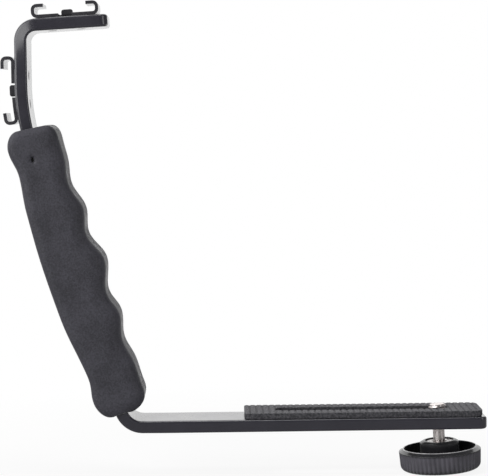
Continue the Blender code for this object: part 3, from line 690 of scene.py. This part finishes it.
def make_rivet(node, material):
    """A rivet with its tail hammered flush. Gives the bar face's point on its axis, and the axis."""
    piece = merged_copy(node, f"{node}_set")
    axis = max(piece.data.polygons, key=lambda face: face.area).normal.copy()
    corners = [vertex.co.copy() for vertex in piece.data.vertices]
    center = sum(corners, Vector()) / len(corners)
    tail_level = min(corner.dot(axis) for corner in corners)
    face_point = center + axis * (tail_level + RIVET_TAIL_DROP - center.dot(axis))
    edit(piece)
    pick(piece, "verts", lambda v: v.co.dot(axis) < tail_level + 1.2 * RIVET_TAIL_HEIGHT)
    bpy.ops.transform.translate(value=axis * (RIVET_TAIL_DROP - RIVET_TAIL_PROUD))
    leave_edit()
    bevel_edges(piece, SMALL_EDGE_BEVEL)
    smooth(piece, SMALL_EDGE)
    finished(piece, material, node)
    return face_point, axis


# Grip, pad, shoes and small pieces

def make_grip(material):
    """The grip as one soft moulding: every corner eased, and what the easing took off put back."""
    grip = merged_copy("grip", "grip_moulded")
    use_modifier(grip, "REMESH", mode="VOXEL", voxel_size=GRIP_VOXEL, use_smooth_shade=True)
    use_modifier(grip, "SMOOTH", factor=GRIP_SMOOTHING, iterations=GRIP_SMOOTHING_ROUNDS)
    use_modifier(grip, "DISPLACE", strength=GRIP_FILL, mid_level=0.0)
    finished(grip, material, "grip")


def make_pad(material):
    """The pad, bedded in its glue, with its cross ribs cut into the top."""
    pad = merged_copy("camera_pad", "pad_ribbed", whole_faces=False)
    low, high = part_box("camera_pad")
    edit(pad)
    pick(pad, "verts", lambda v: v.co.z < low.z + MERGE_DISTANCE)
    bpy.ops.transform.translate(value=(0, 0, -PAD_BED))
    leave_edit()
    count = int((high.x - low.x - 2 * PAD_PLAIN_END) / RIB_PITCH) + 1
    first = (low.x + high.x - (count - 1) * RIB_PITCH) / 2
    bpy.ops.object.select_all(action="DESELECT")
    bpy.ops.mesh.primitive_cylinder_add(
        vertices=RIB_GROOVE_SIDES, radius=RIB_GROOVE_RADIUS, depth=1.2 * (high.y - low.y),
        location=(first, 0, RIB_GROOVE_RADIUS - RIB_GROOVE_DEPTH), rotation=(math.pi / 2, 0, 0))
    groove = bpy.context.object
    settle(groove)
    use_modifier(groove, "ARRAY", count=count, use_relative_offset=False,
                 use_constant_offset=True, constant_offset_displace=(RIB_PITCH, 0, 0))
    combine_solids(pad, groove)
    bevel_edges(pad, SMALL_EDGE_BEVEL, degrees=RIB_EDGE)
    smooth(pad, SHARP_EDGE)
    finished(pad, material, "camera_pad")


def make_shoe(node, material):
    """A pressed shoe with its thick coating and rounded sheet edges."""
    shoe = merged_copy(node, f"{node}_pressed")
    edit(shoe)
    bpy.ops.mesh.select_all(action="SELECT")
    bpy.ops.transform.shrink_fatten(value=SHEET_COATING, use_even_offset=True)
    leave_edit()
    bevel_edges(shoe, SHEET_EDGE_BEVEL, segments=3)
    smooth(shoe, SMALL_EDGE)
    finished(shoe, material, node)


def make_small(node, suffix, material):
    """A washer or insert with its edges broken."""
    piece = merged_copy(node, f"{node}_{suffix}")
    bevel_edges(piece, SMALL_EDGE_BEVEL)
    smooth(piece, SMALL_EDGE)
    finished(piece, material, node)


# Screw and knob

def threaded_rod():
    """A long rod with a rolled thread, larger at the crest than the screw's blank."""
    bpy.ops.object.select_all(action="DESELECT")
    bpy.ops.mesh.primitive_plane_add(size=THREAD_PITCH, location=(THREAD_ROOT_RADIUS, 0, 0))
    rod = bpy.context.object
    settle(rod)
    edit(rod)
    pick(rod, "verts", lambda vertex: True)
    bpy.ops.mesh.merge(type="CENTER")
    # One pitch of the outline: out to the crest, along it, and back to the root
    height = THREAD_OUTER_RADIUS - THREAD_ROOT_RADIUS
    pull((height, 0, CREST_START * THREAD_PITCH))
    pull((0, 0, (CREST_END - CREST_START) * THREAD_PITCH))
    pull((-height, 0, (1 - CREST_END) * THREAD_PITCH))
    leave_edit()
    low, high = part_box("camera_screw")
    turns = math.ceil((high.z - low.z) / THREAD_PITCH) + THREAD_SPARE_TURNS
    use_modifier(rod, "SCREW", axis="Z", angle=2 * math.pi, screw_offset=THREAD_PITCH, iterations=turns,
                 steps=THREAD_STEPS, render_steps=THREAD_STEPS, use_merge_vertices=True,
                 merge_threshold=LEVEL_TOLERANCE)
    rod.location = (screw_pivot.x, 0, low.z - THREAD_SPARE_TURNS / 2 * THREAD_PITCH)
    settle(rod)
    edit(rod)
    merge_doubles()
    cut_across(low.z - THREAD_PITCH / 2, -1, cut_off=True)
    cut_across(high.z + THREAD_PITCH / 2, 1, cut_off=True)
    bpy.ops.mesh.select_all(action="SELECT")
    bpy.ops.mesh.fill_holes(sides=0)
    face_outwards()
    leave_edit()
    lean_with_screw(rod)
    return rod


def make_screw(material):
    """The camera screw with a real thread above the bar and a bare neck."""
    screw = merged_copy("camera_screw", "camera_screw_threaded")
    combine_solids(screw, threaded_rod(), "INTERSECT")
    smooth(screw, THREAD_EDGE)
    finished(screw, material, "camera_screw")


def resize_about_screw(share, z):
    """Draw what is picked towards the screw's upright axis, or away from it."""
    bpy.ops.transform.resize(value=(share, share, 1.0), center_override=(screw_pivot.x, 0, z))


def raise_face(z, new_z):
    """Pull the picked level face from one height to another, and give the new height."""
    pull((0, 0, new_z - z))
    return new_z


def inset_ring(outer_radius, inner_radius):
    """Inset the picked round face from one radius to a smaller one."""
    bpy.ops.mesh.inset(thickness=outer_radius - inner_radius, depth=0)


def pick_level_face(knob, z, facing):
    """Pick the level face at a height that faces up (1) or down (-1)."""
    pick(knob, "faces", lambda face: abs(face.calc_center_median().z - z) < LEVEL_TOLERANCE
         and face.normal.z * facing > 0.9)


def cut_flutes(knob, points_around):
    """Press the flutes into the wall, less and less round the foot."""
    foot_top = KNOB_UNDERSIDE_Z + KNOB_FOOT_ROUND + 2 * LEVEL_TOLERANCE
    foot_levels = sorted({round(v.co.z, 6) for v in bmesh.from_edit_mesh(knob.data).verts
                          if v.co.z < foot_top})
    levels = [(z, step / (len(foot_levels) - 1)) for step, z in enumerate(foot_levels) if step]
    levels.append((FLUTE_TOP_Z, 1.0))

    def place_in_flute(vertex):
        turn = math.atan2(vertex.co.y, vertex.co.x - screw_pivot.x) / (2 * math.pi)
        return round(turn * points_around) % len(FLUTE_DIPS)

    for z, depth_share in levels:
        for place, dip in enumerate(FLUTE_DIPS):
            if dip > 0:
                pick(knob, "verts", lambda v: abs(v.co.z - z) < LEVEL_TOLERANCE
                     and place_in_flute(v) == place)
                resize_about_screw(1 - FLUTE_DEPTH * dip * depth_share / KNOB_RADIUS, z)


def make_knob(material):
    """The knob, drawn out of one cylinder: fluted wall, hollow rim, raised boss and dished foot."""
    points_around = KNOB_FLUTES * len(FLUTE_DIPS)
    height = KNOB_RIM_Z - KNOB_UNDERSIDE_Z
    bpy.ops.object.select_all(action="DESELECT")
    bpy.ops.mesh.primitive_cylinder_add(
        vertices=points_around, radius=KNOB_RADIUS, depth=height, end_fill_type="NGON",
        location=(screw_pivot.x, 0, KNOB_UNDERSIDE_Z + height / 2))
    knob = bpy.context.object
    knob.name = "knob_fluted"
    settle(knob)
    edit(knob)
    # Wall: draft, rounded foot, and rings for the flutes to end at
    pick(knob, "verts", lambda v: v.co.z < KNOB_RIM_Z - height / 2)
    resize_about_screw(KNOB_LOW_RADIUS / KNOB_RADIUS, KNOB_UNDERSIDE_Z)
    pick(knob, "edges", lambda e: all(v.co.z < KNOB_UNDERSIDE_Z + LEVEL_TOLERANCE for v in e.verts))
    bpy.ops.mesh.bevel(offset=KNOB_FOOT_ROUND, segments=KNOB_FOOT_STEPS, affect="EDGES")
    cut_across(FLUTE_TOP_Z)
    cut_across(FLUTE_TOP_Z + FLUTE_DEPTH)
    cut_flutes(knob, points_around)
    # Rim that climbs to a crest
    pick_level_face(knob, KNOB_RIM_Z, 1)
    bpy.ops.mesh.inset(thickness=RIM_EDGE_ROUND, depth=0)
    z = raise_face(KNOB_RIM_Z, RIM_CREST_Z)
    resize_about_screw(CREST_OUTER_RADIUS / (KNOB_RADIUS - RIM_EDGE_ROUND), z)
    # Hollow, and the boss with its bore
    inset_ring(CREST_OUTER_RADIUS, CAVITY_RADIUS)
    z = raise_face(z, CAVITY_FLOOR_Z)
    inset_ring(CAVITY_RADIUS, BOSS_RADIUS)
    z = raise_face(z, BOSS_SHOULDER_Z)
    z = raise_face(z, BOSS_TOP_Z)
    resize_about_screw(BOSS_TOP_RADIUS / BOSS_RADIUS, z)
    inset_ring(BOSS_TOP_RADIUS, BORE_RADIUS)
    raise_face(z, BORE_FLOOR_Z)
    # Dish underneath
    pick_level_face(knob, KNOB_UNDERSIDE_Z, -1)
    inset_ring(KNOB_LOW_RADIUS - KNOB_FOOT_ROUND, DISH_RADIUS)
    raise_face(KNOB_UNDERSIDE_Z, KNOB_UNDERSIDE_Z + DISH_DEPTH)
    resize_about_screw(1 - DISH_DEPTH / DISH_RADIUS, KNOB_UNDERSIDE_Z)
    merge_doubles()
    face_outwards()
    leave_edit()
    bevel_edges(knob, KNOB_EDGE_BEVEL, segments=3, degrees=CORNER_EDGE)
    lean_with_screw(knob)
    smooth(knob, SHARP_EDGE)
    finished(knob, material, "knob")


# Surroundings

def emission(tree, strength):
    """White light of its own."""
    return add(tree, "ShaderNodeEmission", {"Color": WHITE, "Strength": strength}).outputs["Emission"]


def gloss_ray(tree, rays):
    """1 for what metal, gloss or glass shows, and 0 otherwise."""
    return combine(tree, "MAXIMUM", rays["Is Glossy Ray"], rays["Is Transmission Ray"])


def make_floor():
    """A pale floor. The camera sees it white with a faint shadow, and gloss sees it white far behind."""
    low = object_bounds()[0]
    bpy.ops.object.select_all(action="DESELECT")
    bpy.ops.mesh.primitive_plane_add(size=FLOOR_SIZE, location=(0, 0, low.z - FLOOR_DROP))
    floor = bpy.context.object
    floor.name = "floor"
    material = bpy.data.materials.new("floor_white")
    material.use_nodes = True
    tree = material.node_tree
    pale = tree.nodes["Principled BSDF"]
    pale.inputs["Base Color"].default_value = (FLOOR_PALE, FLOOR_PALE, FLOOR_PALE, 1.0)
    pale.inputs["Roughness"].default_value = 0.9
    pale.inputs["Specular IOR Level"].default_value = 0.1
    rays = add(tree, "ShaderNodeLightPath").outputs
    place = add(tree, "ShaderNodeTexCoord").outputs["Object"]
    # For the camera: mostly glow, so that only the shadow's core stays a little grey
    faint = add(tree, "ShaderNodeBsdfDiffuse", {"Color": (NEAR_SHADE, NEAR_SHADE, NEAR_SHADE, 1.0)})
    near = add(tree, "ShaderNodeAddShader", {0: faint.outputs["BSDF"], 1: emission(tree, NEAR_GLOW)})
    distance = add(tree, "ShaderNodeVectorMath", {0: place}, operation="LENGTH").outputs["Value"]
    far = between(tree, distance, 0.0, 1.0, WHITE_START, WHITE_END)
    seen = add(tree, "ShaderNodeMixShader", {0: far, 1: near.outputs["Shader"], 2: emission(tree, 1.0)})
    # For reflections: grey under and before the object, white well behind it
    behind = add(tree, "ShaderNodeSeparateXYZ", {"Vector": place}).outputs["Y"]
    brightness = between(tree, behind, MIRRORED_NEAR, MIRRORED_FAR, MIRRORED_START, MIRRORED_END)
    for_gloss = add(tree, "ShaderNodeMixShader", {
        0: gloss_ray(tree, rays), 1: pale.outputs["BSDF"], 2: emission(tree, brightness)})
    whole = add(tree, "ShaderNodeMixShader", {
        0: rays["Is Camera Ray"], 1: for_gloss.outputs["Shader"], 2: seen.outputs["Shader"]})
    tree.links.new(whole.outputs["Shader"], tree.nodes["Material Output"].inputs["Surface"])
    floor.data.materials.append(material)


def make_world():
    """White for the camera. In reflections it is light behind and to the left, and grey elsewhere."""
    world = bpy.data.worlds.new("studio")
    bpy.context.scene.world = world
    world.use_nodes = True
    tree = world.node_tree
    tree.nodes.clear()
    rays = add(tree, "ShaderNodeLightPath").outputs
    direction = add(tree, "ShaderNodeTexCoord").outputs["Generated"]
    lit_side = add(tree, "ShaderNodeVectorMath", {0: direction, 1: BRIGHT_WAY}, operation="DOT_PRODUCT")
    reflected = between(tree, lit_side.outputs["Value"], REFLECTED_LOW, REFLECTED_HIGH,
                        BRIGHT_START, BRIGHT_END)
    mirrored = combine(tree, "MULTIPLY", reflected, gloss_ray(tree, rays))
    ambient = combine(tree, "MULTIPLY", rays["Is Diffuse Ray"], AMBIENT)
    total = combine(tree, "ADD", combine(tree, "ADD", rays["Is Camera Ray"], mirrored), ambient)
    background = add(tree, "ShaderNodeBackground", {"Color": WHITE, "Strength": total})
    output = add(tree, "ShaderNodeOutputWorld")
    tree.links.new(background.outputs["Background"], output.inputs["Surface"])


def make_lamp(name, place, width, height, power):
    """A soft box turned to the middle of the object."""
    data = bpy.data.lights.new(name, "AREA")
    data.shape = "RECTANGLE"
    data.size = width
    data.size_y = height
    data.energy = power
    lamp = bpy.data.objects.new(name, data)
    bpy.context.scene.collection.objects.link(lamp)
    lamp.location = place
    lamp.rotation_euler = (LAMP_TARGET - Vector(place)).to_track_quat("-Z", "Y").to_euler()


def make_camera():
    """The photograph's view from the front, turned a little down and to the right."""
    # The object's own axes as the camera sees them: x to the right, y down and z away from it
    across, down = ((end - middle) / FOCAL_LENGTH for end, middle in zip(STRAIGHT_BACK, PICTURE_MIDDLE))
    back = Vector((across, down, 1.0)).normalized()
    up = Vector((math.sin(CAMERA_ROLL), -math.cos(CAMERA_ROLL), 0.0))
    up = (up - back * up.dot(back)).normalized()
    right = back.cross(up)
    # The camera's axes among the object's: right, up and towards the viewer
    turned = Matrix(((right.x, back.x, up.x), (-right.y, -back.y, -up.y), (-right.z, -back.z, -up.z)))
    data = bpy.data.cameras.new("camera")
    data.sensor_width = SENSOR_WIDTH
    data.lens = SENSOR_WIDTH * FOCAL_LENGTH / PICTURE_WIDTH
    data.clip_start = NEAREST_SEEN
    camera = bpy.data.objects.new("camera", data)
    bpy.context.scene.collection.objects.link(camera)
    camera.matrix_world = Matrix.Translation(CAMERA_PLACE) @ turned.transposed().to_4x4()
    bpy.context.scene.camera = camera


def main():
    """Dress every piece and light the scene."""
    bright, black_rivet, sheet_black = bright_steel(), rivet_steel(), shoe_steel()
    rivet_seats = []
    for shoe in ("top_shoe", "side_shoe"):
        make_shoe(shoe, sheet_black)
        rivet_seats += [make_rivet(f"{shoe}_rivet_{number}", black_rivet) for number in (1, 2)]
    make_bar(bar_enamel(), rivet_seats)
    make_grip(grip_rubber())
    make_pad(pad_rubber())
    worn = worn_plate()
    for washer in ("retaining_washer", "thrust_washer"):
        make_small(washer, "plated", worn)
    make_small("knob_insert", "turned", insert_brass())
    make_screw(bright)
    make_knob(knob_plastic())
    make_floor()
    make_world()
    for lamp in LAMPS:
        make_lamp(*lamp)
    make_camera()
    bpy.context.scene.view_settings.view_transform = "Standard"


main()
